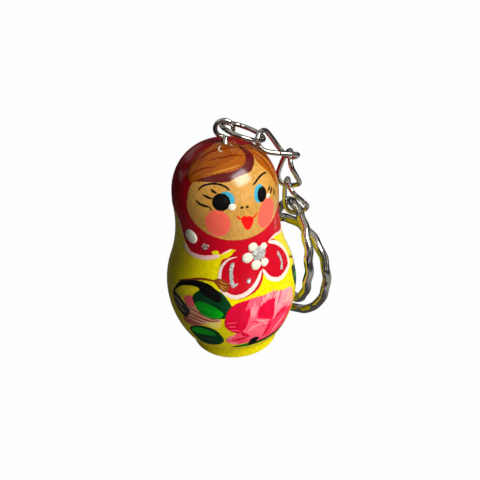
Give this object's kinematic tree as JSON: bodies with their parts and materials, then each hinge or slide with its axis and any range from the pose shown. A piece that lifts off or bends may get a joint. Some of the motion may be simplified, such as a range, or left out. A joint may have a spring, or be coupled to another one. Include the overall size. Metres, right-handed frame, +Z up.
{
  "type": "matryoshka key fob",
  "caption": "Small solid turned wooden matryoshka doll, painted and lacquered, on a key chain: screw eye, jump ring, twisted curb links and a sprung split ring.",
  "frame": {"origin": "centre of the foot's underside, on the table", "axes": "+Z up along the doll's turning axis, the painted face towards -Y, the chain over the +X side"},
  "size_m": [0.0375, 0.0338, 0.0556],
  "materials": {
    "painted_wood": "painted and clear lacquered",
    "nickel": "bright nickel plate with light wear"
  },
  "bodies": {
    "doll": {"doll": "painted_wood", "screw_eye": "nickel"},
    "jump_ring": {"jump_ring": "nickel"},
    "chain_link_1": {"chain_link_1": "nickel"},
    "chain_link_2": {"chain_link_2": "nickel"},
    "chain_link_3": {"chain_link_3": "nickel"},
    "split_ring": {"split_ring": "nickel"}
  },
  "joints": [
    {"name": "eye_swing", "type": "hinge", "parent": "doll", "child": "jump_ring", "pos_m": [0.0007, 0, 0.0533], "axis": [0, -1, 0], "range_deg": [0, 75]},
    {"name": "jump_swing", "type": "hinge", "parent": "jump_ring", "child": "chain_link_1", "pos_m": [0.00866, 0.00105, 0.04982], "axis": [0.4311, -0.8723, 0.2306], "range_deg": [0, 60]},
    {"name": "link_1_swing", "type": "hinge", "parent": "chain_link_1", "child": "chain_link_2", "pos_m": [0.01431, 0.00263, 0.04492], "axis": [-0.03, -0.9113, -0.4106], "range_deg": [0, 45]},
    {"name": "link_2_swing", "type": "hinge", "parent": "chain_link_2", "child": "chain_link_3", "pos_m": [0.014, 0.00559, 0.03666], "axis": [-0.03, -0.9113, -0.4106], "range_deg": [0, 45]},
    {"name": "ring_swing", "type": "hinge", "parent": "chain_link_3", "child": "split_ring", "pos_m": [0.0159, 0.00742, 0.02882], "axis": [0.3107, -0.9221, -0.2305], "range_deg": [0, 75]}
  ]
}
